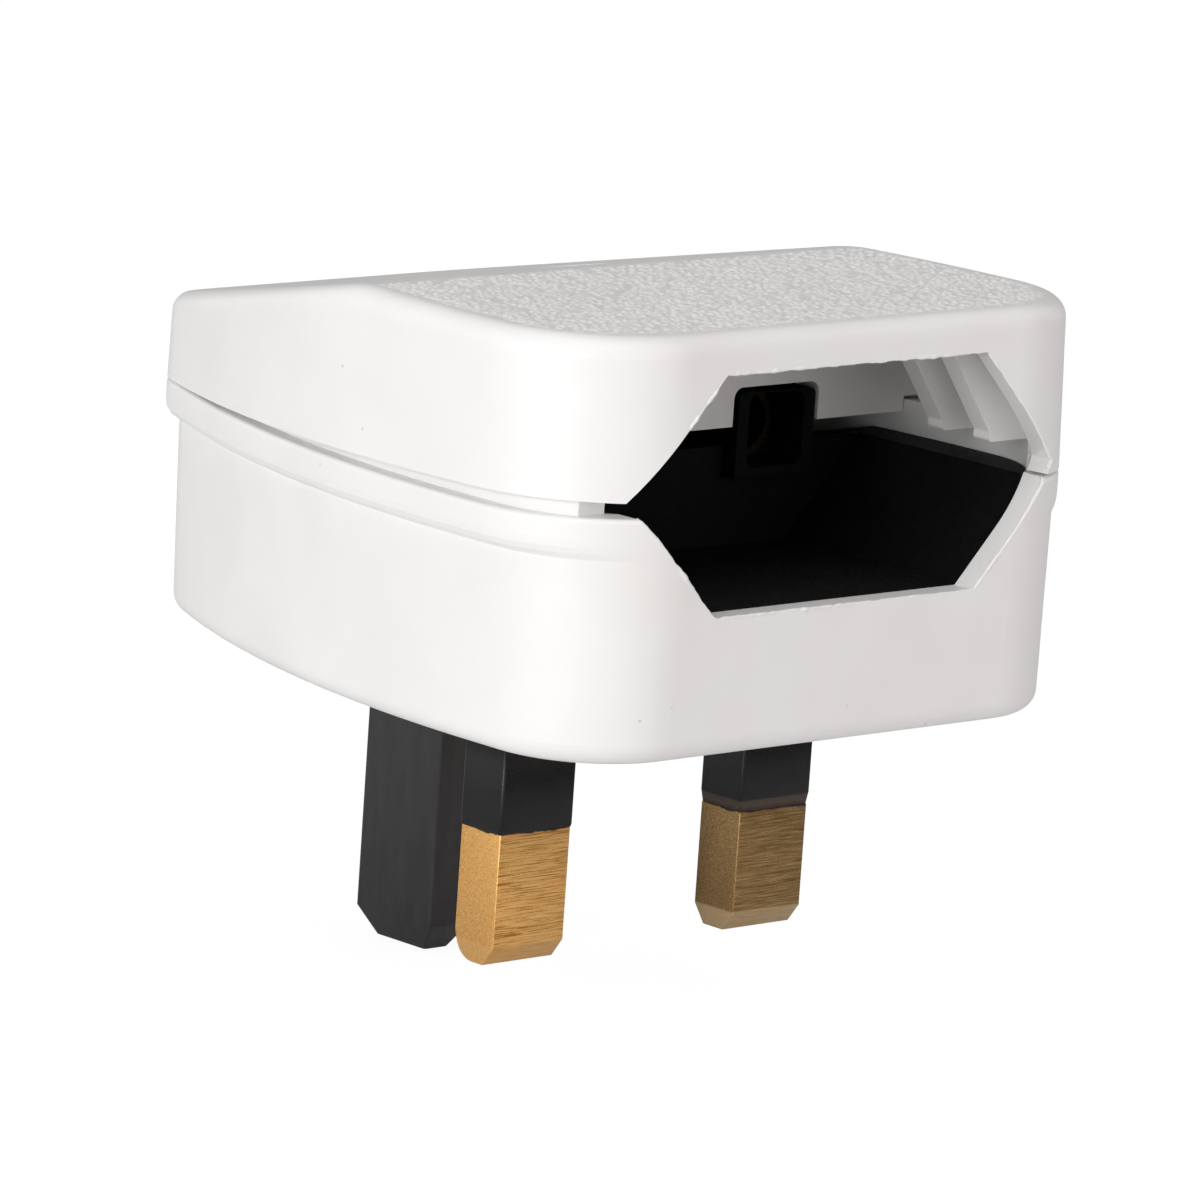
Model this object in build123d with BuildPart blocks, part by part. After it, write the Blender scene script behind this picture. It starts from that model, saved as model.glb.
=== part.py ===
from build123d import *
import os
from math import asin, cos, degrees, radians, sin, sqrt

# Converter plug that turns a two-pin European plug into a British three-pin one.
# All sizes are in millimetres. The origin lies midway between the two line pins, on the face
# that meets the wall socket. +Z runs from the pins into the body, +Y from the line pins
# towards the earth pin, and the two-pin plug goes in through the aperture on the -Y side.

os.makedirs("parts", exist_ok=True)

# Pins
pin_pitch = 22.23
earth_pitch = 22.23
pin_width = 6.35
pin_depth = 3.97
pin_length = 17.7
pin_tip_in = 1.0
pin_tip_up = 1.35
pin_edge_round = 0.25
earth_width = 3.97
earth_depth = 7.95
earth_length = 22.7
earth_tip_side = 0.9
earth_tip_end = 1.36
earth_tip_up = 1.96
earth_edge_round = 0.25
sleeve_length = 9.1
sleeve_wall = 0.5
sleeve_proud = 0.12
pin_fit = 0.08
pin_head_width = 8.6
pin_head_depth = 6.2
pin_head_height = 2.0
earth_head_width = 6.4
earth_head_depth = 10.4
earth_head_height = 3.0

# Body outline, as seen along the pins
half_width = 24.0
front_y = -18.9
rear_y = 37.0
widest_y = -8.0
side_radius = 97.0
front_corner = 8.6
rear_corner = 7.0

# Base housing
floor_thick = 2.0
wall = 1.9
front_wall = 1.9
bottom_round = 1.4
base_draft = 0.35
rim_top = 16.6
rim_height = 2.8
rim_roll = [(0.0, 0.0), (0.4, 0.65), (0.8, 0.93), (1.3, 1.0)]
rim_out = 1.0
rim_round = 0.35
lip_in = 0.3
lip_height = 2.2
lip_end_y = -15.6
ledge_width = 1.5
ledge_length = 6.0
post_clear = 0.57
post_y = 27.0
post_radius = 2.7

# Aperture for the two-pin plug
aperture_flat = 12.0
aperture_vertex = 19.7
aperture_bottom = 9.5
aperture_top = 25.8

# Lid
lid_top = 28.5
break_y = 6.0
slope_angle = 11.5
lid_wall = 1.8
roof_thick = 2.2
lid_round = 1.5
lid_draft = 0.2
lid_front_draft = 0.45
break_round = 16.0
seat_gap = 0.05
rebate_fit = 0.2
gap_left = 1.15
gap_right = 0.05
rib_thick = 1.5
rib_first_y = -14.0
rib_pitch = 4.5
rib_count = 2
rib_over = 0.4
rib_toe_x = 16.5
rib_toe = 0.7
rib_toe_round = 0.3
rib_bottom = 18.6
cross_wall_y = -1.1
cross_wall_thick = 1.2
cross_wall_bottom = 18.0

# Hinge at the back of the lid
hinge_out = 2.2
hinge_radius = 2.0
hinge_pin_radius = 0.75
hinge_fit = 0.05
hinge_gap = 0.2
lid_knuckle = 4.8
base_knuckle = 4.0
hinge_web = 1.7

# Contact carrier
carrier_fit = 0.15
tray_wall = 1.5
tray_back_y = 0.0
tray_top = 16.5
flange_thick = 1.4
deck_thick = 1.6
deck_end_y = 32.5
tower_width = 7.2
tower_front = 1.2
tower_nose_z = 14.4
tower_top = 20.3
tower_fit = 0.4
entry_square = 5.2
entry_round = 0.8
tower_round = 0.5
screw_post_radius = 3.1
screw_post_top = 18.0

# Sockets for the round pins
socket_pitch = 18.8
socket_z = 17.6
socket_bore = 2.05
socket_wall = 0.5
socket_length = 16.0
socket_start = 2.0
socket_slit = 0.8
socket_fit = 0.05

# Fuse and its drawer
fuse_y = 11.0
fuse_length = 25.4
fuse_radius = 3.175
fuse_glass_radius = 2.9
fuse_cap_length = 5.5
fuse_cap_wall = 0.4
drawer_length = 33.0
drawer_depth = 9.0
drawer_face = 1.8
drawer_fit = 0.15
drawer_wall = 1.0
drawer_height = 5.0
drawer_side_half = 6.4
drawer_lift = 0.1
drawer_notch = 6.0
clip_thick = 0.6
clip_width = 4.0
clip_leg = 3.6
clip_fit = 0.08

# Links and small fasteners
link_thick = 0.8
link_width = 3.0
link_y = 3.4
link_bar_z = 7.2
link_bar_height = 1.4
link_fit = 0.2
tail_fit = 0.1
rivet_radius = 0.9
rivet_head_radius = 1.35
rivet_head_height = 0.6
rivet_depth = 2.6
rivet_fit = 0.02
screw_radius = 1.45
screw_head_radius = 2.6
screw_head_height = 1.8
screw_length = 7.0
screw_slot_width = 0.8
screw_slot_depth = 0.9
screw_fit = 0.15
insert_radius = 2.2
insert_length = 5.6
lid_screw_y = 11.0
lid_screw_radius = 1.5
lid_screw_head_radius = 2.7
lid_screw_head_height = 2.0
lid_screw_length = 5.6
lid_screw_sink = 0.9
lid_boss_radius = 4.2
lid_boss_bottom = 18.2
lid_boss_web = 1.6
washer_radius = 2.6
washer_thick = 0.5

# Places worked out from the sizes above
line_x = pin_pitch / 2
socket_x = socket_pitch / 2
rim_bottom = rim_top - rim_height
vertex_z = (aperture_bottom + aperture_top) / 2
hinge_y = rear_y + rim_out + hinge_out
hinge_z = rim_top
side_centre_x = half_width - side_radius
rear_centre_y = rear_y - rear_corner
rear_angle = degrees(asin((rear_centre_y - widest_y) / (side_radius - rear_corner)))
rear_centre_x = side_centre_x + (side_radius - rear_corner) * cos(radians(rear_angle))
post_wall_x = side_centre_x + sqrt(side_radius**2 - (post_y - widest_y) ** 2) - wall
post_x = post_wall_x - post_radius - post_clear
sleeve_outer_width = pin_width + 2 * sleeve_proud
sleeve_outer_depth = pin_depth + 2 * sleeve_proud
neck_width = sleeve_outer_width - 2 * sleeve_wall
neck_depth = sleeve_outer_depth - 2 * sleeve_wall
head_top = floor_thick + pin_head_height
fuse_z = drawer_face + drawer_lift + fuse_radius
fuse_cap_x = fuse_length / 2 - fuse_cap_length / 2
clip_under = fuse_z + fuse_radius + clip_fit
clip_top = clip_under + clip_thick
deck_z = clip_top
socket_outer = socket_bore + socket_wall
socket_under = socket_z - socket_outer
tower_start = tray_back_y + tray_wall + carrier_fit
tower_end = socket_start + socket_length + tray_wall
slope_fall = sin(radians(slope_angle)) / cos(radians(slope_angle))


def roof_z(y):
    """Height of the lid's outer roof at a place along the body."""
    return lid_top - max(0.0, y - break_y) * slope_fall


def plan_face(grow, front_in):
    """The body's outline in plan, grown by a margin, with its front moved in by another."""
    front = front_y + front_in
    corner = front_corner + grow
    rear = rear_corner + grow
    with BuildSketch() as face:
        with BuildLine():
            Line((0, front), (half_width - front_corner, front))
            bend = CenterArc((half_width - front_corner, front + corner), corner, -90, 90)
            Line(bend @ 1, (half_width + grow, widest_y))
            CenterArc((side_centre_x, widest_y), side_radius + grow, 0, rear_angle)
            back = CenterArc((rear_centre_x, rear_centre_y), rear, rear_angle, 90 - rear_angle)
            Line(back @ 1, (0, rear_y + grow))
            mirror(about=Plane.YZ)
        make_face()
    return face.sketch


def aperture_face(grow):
    """The six-sided aperture seen from the front, grown by a margin on every side."""
    lift = grow * 1.4
    points = [
        (-aperture_flat - grow / 2, aperture_bottom - grow),
        (aperture_flat + grow / 2, aperture_bottom - grow),
        (aperture_vertex + lift, vertex_z),
        (aperture_flat + grow / 2, aperture_top + grow),
        (-aperture_flat - grow / 2, aperture_top + grow),
        (-aperture_vertex - lift, vertex_z),
    ]
    with BuildSketch() as face:
        Polygon(*points, align=None)
    return face.sketch


def from_front(y):
    """A plane that faces the front, at a place along the body."""
    return Plane.XZ.offset(-y)


# The rim: a band round the top of the base with a rolled underside and a soft top edge
with BuildPart() as rim:
    for (low_rise, low_share), (high_rise, high_share) in zip(rim_roll[:-1], rim_roll[1:]):
        with BuildSketch(Plane.XY.offset(rim_bottom + low_rise)):
            add(plan_face(rim_out * low_share, 0))
        with BuildSketch(Plane.XY.offset(rim_bottom + high_rise)):
            add(plan_face(rim_out * high_share, 0))
        loft(ruled=True)
    with BuildSketch(Plane.XY.offset(rim_bottom + rim_roll[-1][0])):
        add(plan_face(rim_out, 0))
    extrude(amount=rim_height - rim_roll[-1][0])
    fillet(rim.faces().sort_by(Axis.Z)[-1].edges(), rim_round)

# The base housing: an open tub with the rim, and a thin lip that locates the lid
with BuildPart() as base_housing:
    with BuildSketch():
        add(plan_face(-base_draft, 0))
    with BuildSketch(Plane.XY.offset(rim_bottom)):
        add(plan_face(0, 0))
    loft(ruled=True)
    fillet(base_housing.faces().sort_by(Axis.Z)[0].edges(), bottom_round)
    add(rim.part)
    with BuildSketch(Plane.XY.offset(rim_top)):
        add(plan_face(-lip_in, lip_in))
        with Locations((0, lip_end_y - half_width)):
            Rectangle(4 * half_width, 2 * half_width, mode=Mode.SUBTRACT)
    extrude(amount=lip_height)
    with BuildSketch(Plane.XY.offset(floor_thick)):
        add(plan_face(-wall, front_wall))
    extrude(amount=rim_top + lip_height, mode=Mode.SUBTRACT)
    with BuildSketch(from_front(front_y + front_corner)):
        add(aperture_face(0))
    extrude(amount=front_corner + 1, mode=Mode.SUBTRACT)
    # Openings in the floor for the pins and the fuse drawer
    with BuildSketch():
        with Locations((line_x, 0), (-line_x, 0)):
            Rectangle(sleeve_outer_width + 2 * pin_fit, sleeve_outer_depth + 2 * pin_fit)
        with Locations((0, earth_pitch)):
            Rectangle(earth_width + 2 * pin_fit, earth_depth + 2 * pin_fit)
        with Locations((0, fuse_y)):
            Rectangle(drawer_length + 2 * drawer_fit, drawer_depth + 2 * drawer_fit)
    extrude(amount=floor_thick, mode=Mode.SUBTRACT)
    # Posts that the carrier is screwed down to
    with BuildSketch(Plane.XY.offset(floor_thick)):
        with Locations((post_x, post_y), (-post_x, post_y)):
            Circle(post_radius)
            Circle(screw_radius - screw_fit, mode=Mode.SUBTRACT)
    extrude(amount=deck_z - floor_thick)
    # Ledges in the front corners that the carrier's tray rests on
    with BuildSketch(Plane.XY.offset(floor_thick)):
        with GridLocations(2 * (half_width - wall) - ledge_width, 0, 2, 1):
            with Locations((0, widest_y)):
                Rectangle(ledge_width, ledge_length)
    extrude(amount=tray_top - flange_thick - floor_thick)
    # Outer hinge knuckles with their webs
    knuckle_x = lid_knuckle / 2 + hinge_gap + base_knuckle / 2
    for side in (-1, 1):
        with BuildSketch(Plane.YZ.offset(side * knuckle_x - base_knuckle / 2)):
            with Locations((hinge_y, hinge_z)):
                Circle(hinge_radius)
            with Locations((hinge_y - hinge_out, hinge_z - hinge_web / 2)):
                Rectangle(2 * hinge_out, hinge_web)
        extrude(amount=base_knuckle)
    with BuildSketch(Plane.YZ.offset(-half_width)):
        with Locations((hinge_y, hinge_z)):
            Circle(hinge_pin_radius + hinge_fit)
    extrude(amount=2 * half_width, mode=Mode.SUBTRACT)
base_housing.part.label = "base_housing"
export_step(base_housing.part, "parts/base_housing.step")

# The plug tray: a black shell, open on top, that the lower half of the plug body lies in
with BuildPart() as plug_tray:
    with BuildSketch(from_front(tray_back_y + tray_wall)):
        add(aperture_face(tray_wall))
    extrude(amount=tray_back_y + tray_wall - front_y - front_wall - carrier_fit)
    with BuildSketch(Plane.XY.offset(tray_top - flange_thick)):
        add(plan_face(-wall - carrier_fit, front_wall + carrier_fit))
        with Locations((0, tray_back_y + tray_wall + half_width)):
            Rectangle(4 * half_width, 2 * half_width, mode=Mode.SUBTRACT)
    extrude(amount=flange_thick)
    with BuildSketch(Plane.XY.offset(tray_top)):
        Rectangle(4 * half_width, 4 * half_width)
    extrude(amount=half_width, mode=Mode.SUBTRACT)
    with BuildSketch():
        add(plan_face(-wall - carrier_fit, front_wall + carrier_fit))
    extrude(amount=half_width, mode=Mode.INTERSECT)
    with BuildSketch(from_front(tray_back_y)):
        add(aperture_face(0))
    extrude(amount=tray_back_y - front_y, mode=Mode.SUBTRACT)
    with BuildSketch(Plane.XY.offset(tower_nose_z - carrier_fit)):
        with GridLocations(socket_pitch, 0, 2, 1):
            Rectangle(tower_width + 2 * carrier_fit, 4 * tray_wall)
    extrude(amount=tower_top, mode=Mode.SUBTRACT)
plug_tray.part.label = "plug_tray"
export_step(plug_tray.part, "parts/plug_tray.step")

# The contact carrier: a deck behind the tray, with two towers for the sockets
with BuildPart() as contact_carrier:
    with BuildSketch(Plane.XY.offset(deck_z)):
        add(plan_face(-wall - carrier_fit, front_wall + carrier_fit))
        with Locations((0, tower_start - half_width)):
            Rectangle(4 * half_width, 2 * half_width, mode=Mode.SUBTRACT)
        with Locations((0, deck_end_y + half_width)):
            Rectangle(4 * half_width, 2 * half_width, mode=Mode.SUBTRACT)
    extrude(amount=deck_thick)
    # Towers that hold the sockets, open on top behind the pin entries
    with BuildSketch(Plane.XY.offset(deck_z)):
        with GridLocations(socket_pitch, 0, 2, 1):
            with Locations((0, (tower_start + tower_end) / 2)):
                Rectangle(tower_width, tower_end - tower_start)
    extrude(amount=tower_top - deck_z)
    with BuildSketch(Plane.XY.offset(tower_nose_z)):
        with GridLocations(socket_pitch, 0, 2, 1):
            with Locations((0, (tower_start - tower_front) / 2)):
                Rectangle(tower_width, tower_start + tower_front)
    extrude(amount=tower_top - tower_nose_z)
    fillet(contact_carrier.edges().filter_by(Axis.Y).group_by(Axis.Z)[-1], tower_round)
    with BuildSketch(Plane.XY.offset(socket_z)):
        with Locations((socket_x, 0), (-socket_x, 0)):
            with Locations((0, socket_start + socket_length / 2)):
                Rectangle(2 * (socket_outer + socket_fit), socket_length + 2 * socket_fit)
    extrude(amount=tower_top, mode=Mode.SUBTRACT)
    with BuildSketch(from_front(socket_start + socket_length + socket_fit)):
        with Locations((socket_x, socket_z), (-socket_x, socket_z)):
            Circle(socket_outer + socket_fit)
    extrude(amount=socket_length + 2 * socket_fit, mode=Mode.SUBTRACT)
    with BuildSketch(from_front(socket_start)):
        with Locations((socket_x, socket_z), (-socket_x, socket_z)):
            RectangleRounded(entry_square, entry_square, entry_round)
    extrude(amount=socket_start + tower_front + 1, mode=Mode.SUBTRACT)
    # Post for the lid screw
    with BuildSketch(Plane.XY.offset(deck_z)):
        with Locations((0, lid_screw_y)):
            Circle(screw_post_radius)
    extrude(amount=screw_post_top - deck_z)
    with Locations((0, lid_screw_y, screw_post_top)):
        Hole(insert_radius, depth=insert_length)
    # Holes for the screws and slots for the links that come up from below
    with Locations((post_x, post_y, deck_z + deck_thick), (-post_x, post_y, deck_z + deck_thick)):
        Hole(screw_radius + screw_fit)
    with BuildSketch(Plane.XY.offset(deck_z)):
        with Locations((socket_x, link_y), (-socket_x, fuse_y)):
            Rectangle(link_width + 2 * link_fit, link_thick + 2 * link_fit)
    extrude(amount=socket_z - deck_z, mode=Mode.SUBTRACT)
contact_carrier.part.label = "contact_carrier"
export_step(contact_carrier.part, "parts/contact_carrier.step")

# The line pins: bare brass blades with chamfered tips, necked where the sleeve sits
line_pins = {"live": line_x, "neutral": -line_x}
for name, x in line_pins.items():
    with BuildPart() as pin:
        with BuildSketch(Plane.XY.offset(-pin_length)):
            with Locations((x, 0)):
                Rectangle(pin_width, pin_depth)
        extrude(amount=pin_length - sleeve_length)
        tip = pin.faces().sort_by(Axis.Z)[0]
        chamfer(tip.edges().filter_by(Axis.X), pin_tip_in, pin_tip_up, reference=tip)
        with BuildSketch(Plane.XY.offset(-sleeve_length)):
            with Locations((x, 0)):
                Rectangle(neck_width, neck_depth)
        extrude(amount=sleeve_length + floor_thick)
        with BuildSketch(Plane.XY.offset(floor_thick)):
            with Locations((x, 0)):
                Rectangle(pin_head_width, pin_head_depth)
        extrude(amount=pin_head_height)
        with Locations((x, 0, head_top)):
            Hole(rivet_radius + rivet_fit, depth=rivet_depth)
    pin.part.label = name + "_pin"
    export_step(pin.part, "parts/" + name + "_pin.step")

    with BuildPart() as sleeve:
        with BuildSketch(Plane.XY.offset(-sleeve_length)):
            with Locations((x, 0)):
                Rectangle(sleeve_outer_width, sleeve_outer_depth)
        extrude(amount=sleeve_length + floor_thick)
        fillet(sleeve.edges().filter_by(Axis.Z), pin_edge_round)
        with BuildSketch(Plane.XY.offset(-sleeve_length)):
            with Locations((x, 0)):
                Rectangle(neck_width, neck_depth)
        extrude(amount=sleeve_length + floor_thick, mode=Mode.SUBTRACT)
    sleeve.part.label = name + "_pin_sleeve"
    export_step(sleeve.part, "parts/" + name + "_pin_sleeve.step")

    with BuildPart() as rivet:
        with BuildSketch(Plane.XY.offset(head_top - rivet_depth)):
            with Locations((x, 0)):
                Circle(rivet_radius)
        extrude(amount=rivet_depth + link_thick)
        with BuildSketch(Plane.XY.offset(head_top + link_thick)):
            with Locations((x, 0)):
                Circle(rivet_head_radius)
        extrude(amount=rivet_head_height)
        chamfer(rivet.faces().sort_by(Axis.Z)[-1].edges(), rivet_head_height * 0.5)
    rivet.part.label = name + "_pin_rivet"
    export_step(rivet.part, "parts/" + name + "_pin_rivet.step")

# The earth pin: a moulded dummy that only opens the wall socket's shutters
with BuildPart() as earth_pin:
    with BuildSketch(Plane.XY.offset(earth_tip_up - earth_length)):
        with Locations((0, earth_pitch)):
            Rectangle(earth_width, earth_depth)
    extrude(amount=earth_length - earth_tip_up + floor_thick)
    fillet(earth_pin.edges().filter_by(Axis.Z), earth_edge_round)
    with BuildSketch(Plane.XY.offset(earth_tip_up - earth_length)):
        with Locations((0, earth_pitch)):
            RectangleRounded(earth_width, earth_depth, earth_edge_round)
    with BuildSketch(Plane.XY.offset(-earth_length)):
        with Locations((0, earth_pitch)):
            RectangleRounded(
                earth_width - 2 * earth_tip_side, earth_depth - 2 * earth_tip_end, earth_edge_round
            )
    loft()
    with BuildSketch(Plane.XY.offset(floor_thick)):
        with Locations((0, earth_pitch)):
            Rectangle(earth_head_width, earth_head_depth)
    extrude(amount=earth_head_height)
earth_pin.part.label = "earth_pin"
export_step(earth_pin.part, "parts/earth_pin.step")

# The sockets: split brass tubes that grip the round pins
sockets = {"neutral": socket_x, "live": -socket_x}
for name, x in sockets.items():
    with BuildPart() as socket:
        with BuildSketch(from_front(socket_start + socket_length)):
            with Locations((x, socket_z)):
                Circle(socket_outer)
                Circle(socket_bore, mode=Mode.SUBTRACT)
                with Locations((0, socket_outer)):
                    Rectangle(socket_slit, 2 * socket_outer, mode=Mode.SUBTRACT)
        extrude(amount=socket_length)
    socket.part.label = name + "_socket"
    export_step(socket.part, "parts/" + name + "_socket.step")

# Fuse clips: springy saddles over the fuse's caps. The live one has a tail to the live pin.
clips = {"live": fuse_cap_x, "load": -fuse_cap_x}
for name, x in clips.items():
    with BuildPart() as clip:
        with BuildSketch(Plane.YZ.offset(x - clip_width / 2)):
            half = fuse_radius + clip_fit + clip_thick
            with Locations((fuse_y, clip_top - clip_leg / 2)):
                Rectangle(2 * half, clip_leg)
            with Locations((fuse_y, clip_under - clip_leg / 2)):
                Rectangle(2 * half - 2 * clip_thick, clip_leg, mode=Mode.SUBTRACT)
        extrude(amount=clip_width)
        if name == "live":
            with BuildSketch(Plane.YZ.offset(x - clip_width / 2)):
                tail_start = -pin_head_depth / 2
                tail_y = fuse_y - drawer_depth / 2 - drawer_fit - clip_thick - tail_fit
                with BuildLine():
                    Polyline(
                        (tail_start, head_top),
                        (tail_y + clip_thick, head_top),
                        (tail_y + clip_thick, clip_under),
                        (fuse_y, clip_under),
                        (fuse_y, clip_top),
                        (tail_y, clip_top),
                        (tail_y, head_top + link_thick),
                        (tail_start, head_top + link_thick),
                        close=True,
                    )
                make_face()
            extrude(amount=line_x + link_width / 2 - x + clip_width / 2)
            with Locations((line_x, 0, head_top + link_thick)):
                Hole(rivet_radius + rivet_fit)
    clip.part.label = name + "_fuse_clip"
    export_step(clip.part, "parts/" + name + "_fuse_clip.step")

# Link from the load clip up to the live socket
with BuildPart() as live_link_strip:
    with BuildSketch(Plane.XY.offset(clip_top)):
        with Locations((-socket_x, fuse_y)):
            Rectangle(link_width, link_thick)
    extrude(amount=socket_under - clip_top)
live_link_strip.part.label = "live_link_strip"
export_step(live_link_strip.part, "parts/live_link_strip.step")

# Link from the neutral pin across and up to the neutral socket
with BuildPart() as neutral_link_strip:
    with BuildSketch(from_front(link_y + link_thick / 2)):
        with BuildLine():
            Polyline(
                (-line_x - link_width / 2, head_top),
                (-line_x + link_width / 2, head_top),
                (-line_x + link_width / 2, link_bar_z),
                (socket_x + link_width / 2, link_bar_z),
                (socket_x + link_width / 2, socket_under),
                (socket_x - link_width / 2, socket_under),
                (socket_x - link_width / 2, link_bar_z + link_bar_height),
                (-line_x - link_width / 2, link_bar_z + link_bar_height),
                close=True,
            )
        make_face()
    extrude(amount=link_thick)
    with BuildSketch(Plane.XY.offset(head_top)):
        with Locations((-line_x, (link_y - pin_head_depth / 2) / 2)):
            Rectangle(link_width, link_y + pin_head_depth / 2)
    extrude(amount=link_thick)
    with Locations((-line_x, 0, head_top + link_thick)):
        Hole(rivet_radius + rivet_fit)
neutral_link_strip.part.label = "neutral_link_strip"
export_step(neutral_link_strip.part, "parts/neutral_link_strip.step")

# Carrier screws, turned from above into the posts of the base
for name, x in {"left": -post_x, "right": post_x}.items():
    with BuildPart() as screw:
        with BuildSketch(Plane.XY.offset(deck_z + deck_thick)):
            with Locations((x, post_y)):
                Circle(screw_head_radius)
        extrude(amount=screw_head_height)
        chamfer(screw.faces().sort_by(Axis.Z)[-1].edges(), screw_head_height * 0.3)
        with BuildSketch(Plane.XY.offset(deck_z + deck_thick - screw_length)):
            with Locations((x, post_y)):
                Circle(screw_radius - screw_fit)
        extrude(amount=screw_length)
        with BuildSketch(Plane.XY.offset(deck_z + deck_thick + screw_head_height)):
            with Locations((x, post_y)):
                Rectangle(2 * screw_head_radius * 0.7, screw_slot_width)
                Rectangle(screw_slot_width, 2 * screw_head_radius * 0.7)
        extrude(amount=-screw_slot_depth, mode=Mode.SUBTRACT)
    screw.part.label = "carrier_screw_" + name
    export_step(screw.part, "parts/carrier_screw_" + name + ".step")

# Threaded insert for the lid screw
with BuildPart() as screw_insert:
    with BuildSketch(Plane.XY.offset(screw_post_top - insert_length)):
        with Locations((0, lid_screw_y)):
            Circle(insert_radius)
            Circle(lid_screw_radius, mode=Mode.SUBTRACT)
    extrude(amount=insert_length)
screw_insert.part.label = "screw_insert"
export_step(screw_insert.part, "parts/screw_insert.step")

# The lid: a shell with a level front part and a sloping back, open at the front
lid_bottom = rim_top + seat_gap
with BuildPart() as slope_cut:
    with BuildSketch(Plane.YZ.offset(-2 * half_width)):
        far = rear_y + half_width
        with BuildLine():
            Polyline(
                (break_y, lid_top),
                (far, roof_z(far)),
                (far, 2 * lid_top),
                (break_y, 2 * lid_top),
                close=True,
            )
        make_face()
    extrude(amount=4 * half_width)

with BuildPart() as lid_hollow:
    with BuildSketch(Plane.XY.offset(lid_bottom)):
        add(plan_face(rim_out - lid_wall, lid_wall))
    extrude(amount=lid_top - roof_thick - lid_bottom)
    add(slope_cut.part.moved(Location((0, 0, -roof_thick))), mode=Mode.SUBTRACT)

with BuildPart() as lid_inside:
    # Ribs across the front corners that steady the plug's shoulders
    for index in range(rib_count):
        rib_y = rib_first_y + index * rib_pitch + rib_thick / 2
        with BuildSketch(from_front(rib_y)) as rib:
            with BuildLine():
                Polyline(
                    (aperture_flat - rib_over, lid_top),
                    (aperture_flat - rib_over, aperture_top + rib_over),
                    (rib_toe_x, rib_bottom + rib_toe),
                    (rib_toe_x, rib_bottom),
                    (half_width, rib_bottom),
                    (half_width, lid_top),
                    close=True,
                )
            make_face()
            fillet(rib.vertices().sort_by(Axis.X)[2:4], rib_toe_round)
            mirror(about=Plane.YZ)
        extrude(amount=rib_thick)
    # Cross wall that closes the pocket above the sockets, notched round their towers
    with BuildSketch(from_front(cross_wall_y + cross_wall_thick)):
        with Locations((0, (cross_wall_bottom + lid_top) / 2)):
            Rectangle(2 * half_width, lid_top - cross_wall_bottom)
        with Locations((0, tower_top + tower_fit - socket_z)):
            with GridLocations(socket_pitch, 0, 2, 1):
                RectangleRounded(tower_width + 2 * tower_fit, 2 * socket_z, 2 * tower_fit, mode=Mode.SUBTRACT)
    extrude(amount=cross_wall_thick)
    # Boss for the lid screw
    with BuildSketch(Plane.XY.offset(lid_boss_bottom)):
        with Locations((0, lid_screw_y)):
            Circle(lid_boss_radius)
    extrude(amount=lid_top - lid_boss_bottom)
    add(lid_hollow.part, mode=Mode.INTERSECT)

with BuildPart() as lid:
    with BuildSketch(Plane.XY.offset(lid_bottom)):
        add(plan_face(rim_out, 0))
    with BuildSketch(Plane.XY.offset(lid_top)):
        add(plan_face(rim_out - lid_draft, lid_front_draft))
    loft(ruled=True)
    add(slope_cut.part, mode=Mode.SUBTRACT)
    crease = lid.edges().filter_by(Axis.X).filter_by_position(Axis.Y, break_y - 0.1, break_y + 0.1)
    fillet(crease, break_round)
    top_edges = lid.edges().filter_by(lambda edge: edge.center().Z > roof_z(rear_y) - lid_round)
    inner_edges = top_edges.filter_by(Axis.X).filter_by_position(Axis.Y, front_y + 1, rear_y - 1)
    fillet(top_edges - inner_edges, lid_round)
    add(lid_hollow.part, mode=Mode.SUBTRACT)
    with BuildSketch(from_front(front_y + front_corner)):
        add(aperture_face(0))
    extrude(amount=front_corner + 1, mode=Mode.SUBTRACT)
    add(lid_inside.part)
    # Groove that drops over the lip of the base
    with BuildSketch(Plane.XY.offset(lid_bottom)):
        add(plan_face(rebate_fit - lip_in, lip_in - rebate_fit))
        add(plan_face(-wall - rebate_fit, front_wall), mode=Mode.SUBTRACT)
        with Locations((0, lip_end_y - rebate_fit - half_width)):
            Rectangle(4 * half_width, 2 * half_width, mode=Mode.SUBTRACT)
    extrude(amount=lip_height + rebate_fit, mode=Mode.SUBTRACT)
    # The lower edge stands off the rim at the left front corner
    left_corner = Vector(-half_width - rim_out, front_y, lid_bottom + gap_left)
    right_corner = Vector(half_width + rim_out, front_y, lid_bottom + gap_right)
    rear_left = Vector(-rear_centre_x - rear_corner, rear_y, lid_bottom)
    across = right_corner - left_corner
    lean = Plane(left_corner, x_dir=across, z_dir=across.cross(rear_left - left_corner))
    with BuildSketch(lean):
        Rectangle(6 * half_width, 6 * half_width)
    extrude(amount=-gap_left - rim_height, mode=Mode.SUBTRACT)
    # Recess and hole for the lid screw
    with BuildSketch(Plane.XY.offset(lid_boss_bottom + lid_boss_web)):
        with Locations((0, lid_screw_y)):
            Circle(lid_screw_head_radius + screw_fit)
    extrude(amount=lid_top, mode=Mode.SUBTRACT)
    with BuildSketch(Plane.XY.offset(lid_boss_bottom)):
        with Locations((0, lid_screw_y)):
            Circle(lid_screw_radius + screw_fit)
    extrude(amount=lid_boss_web, mode=Mode.SUBTRACT)
    # Middle hinge knuckle with its web
    with BuildSketch(Plane.YZ.offset(-lid_knuckle / 2)):
        with Locations((hinge_y, hinge_z)):
            Circle(hinge_radius)
        with Locations((hinge_y - hinge_out / 2 - lid_wall / 4, hinge_z + hinge_radius - hinge_web / 2)):
            Rectangle(hinge_out + lid_wall / 2, hinge_web)
        with Locations((hinge_y, hinge_z)):
            Circle(hinge_pin_radius + hinge_fit, mode=Mode.SUBTRACT)
    extrude(amount=lid_knuckle)
lid.part.label = "lid"
export_step(lid.part, "parts/lid.step")

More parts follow.
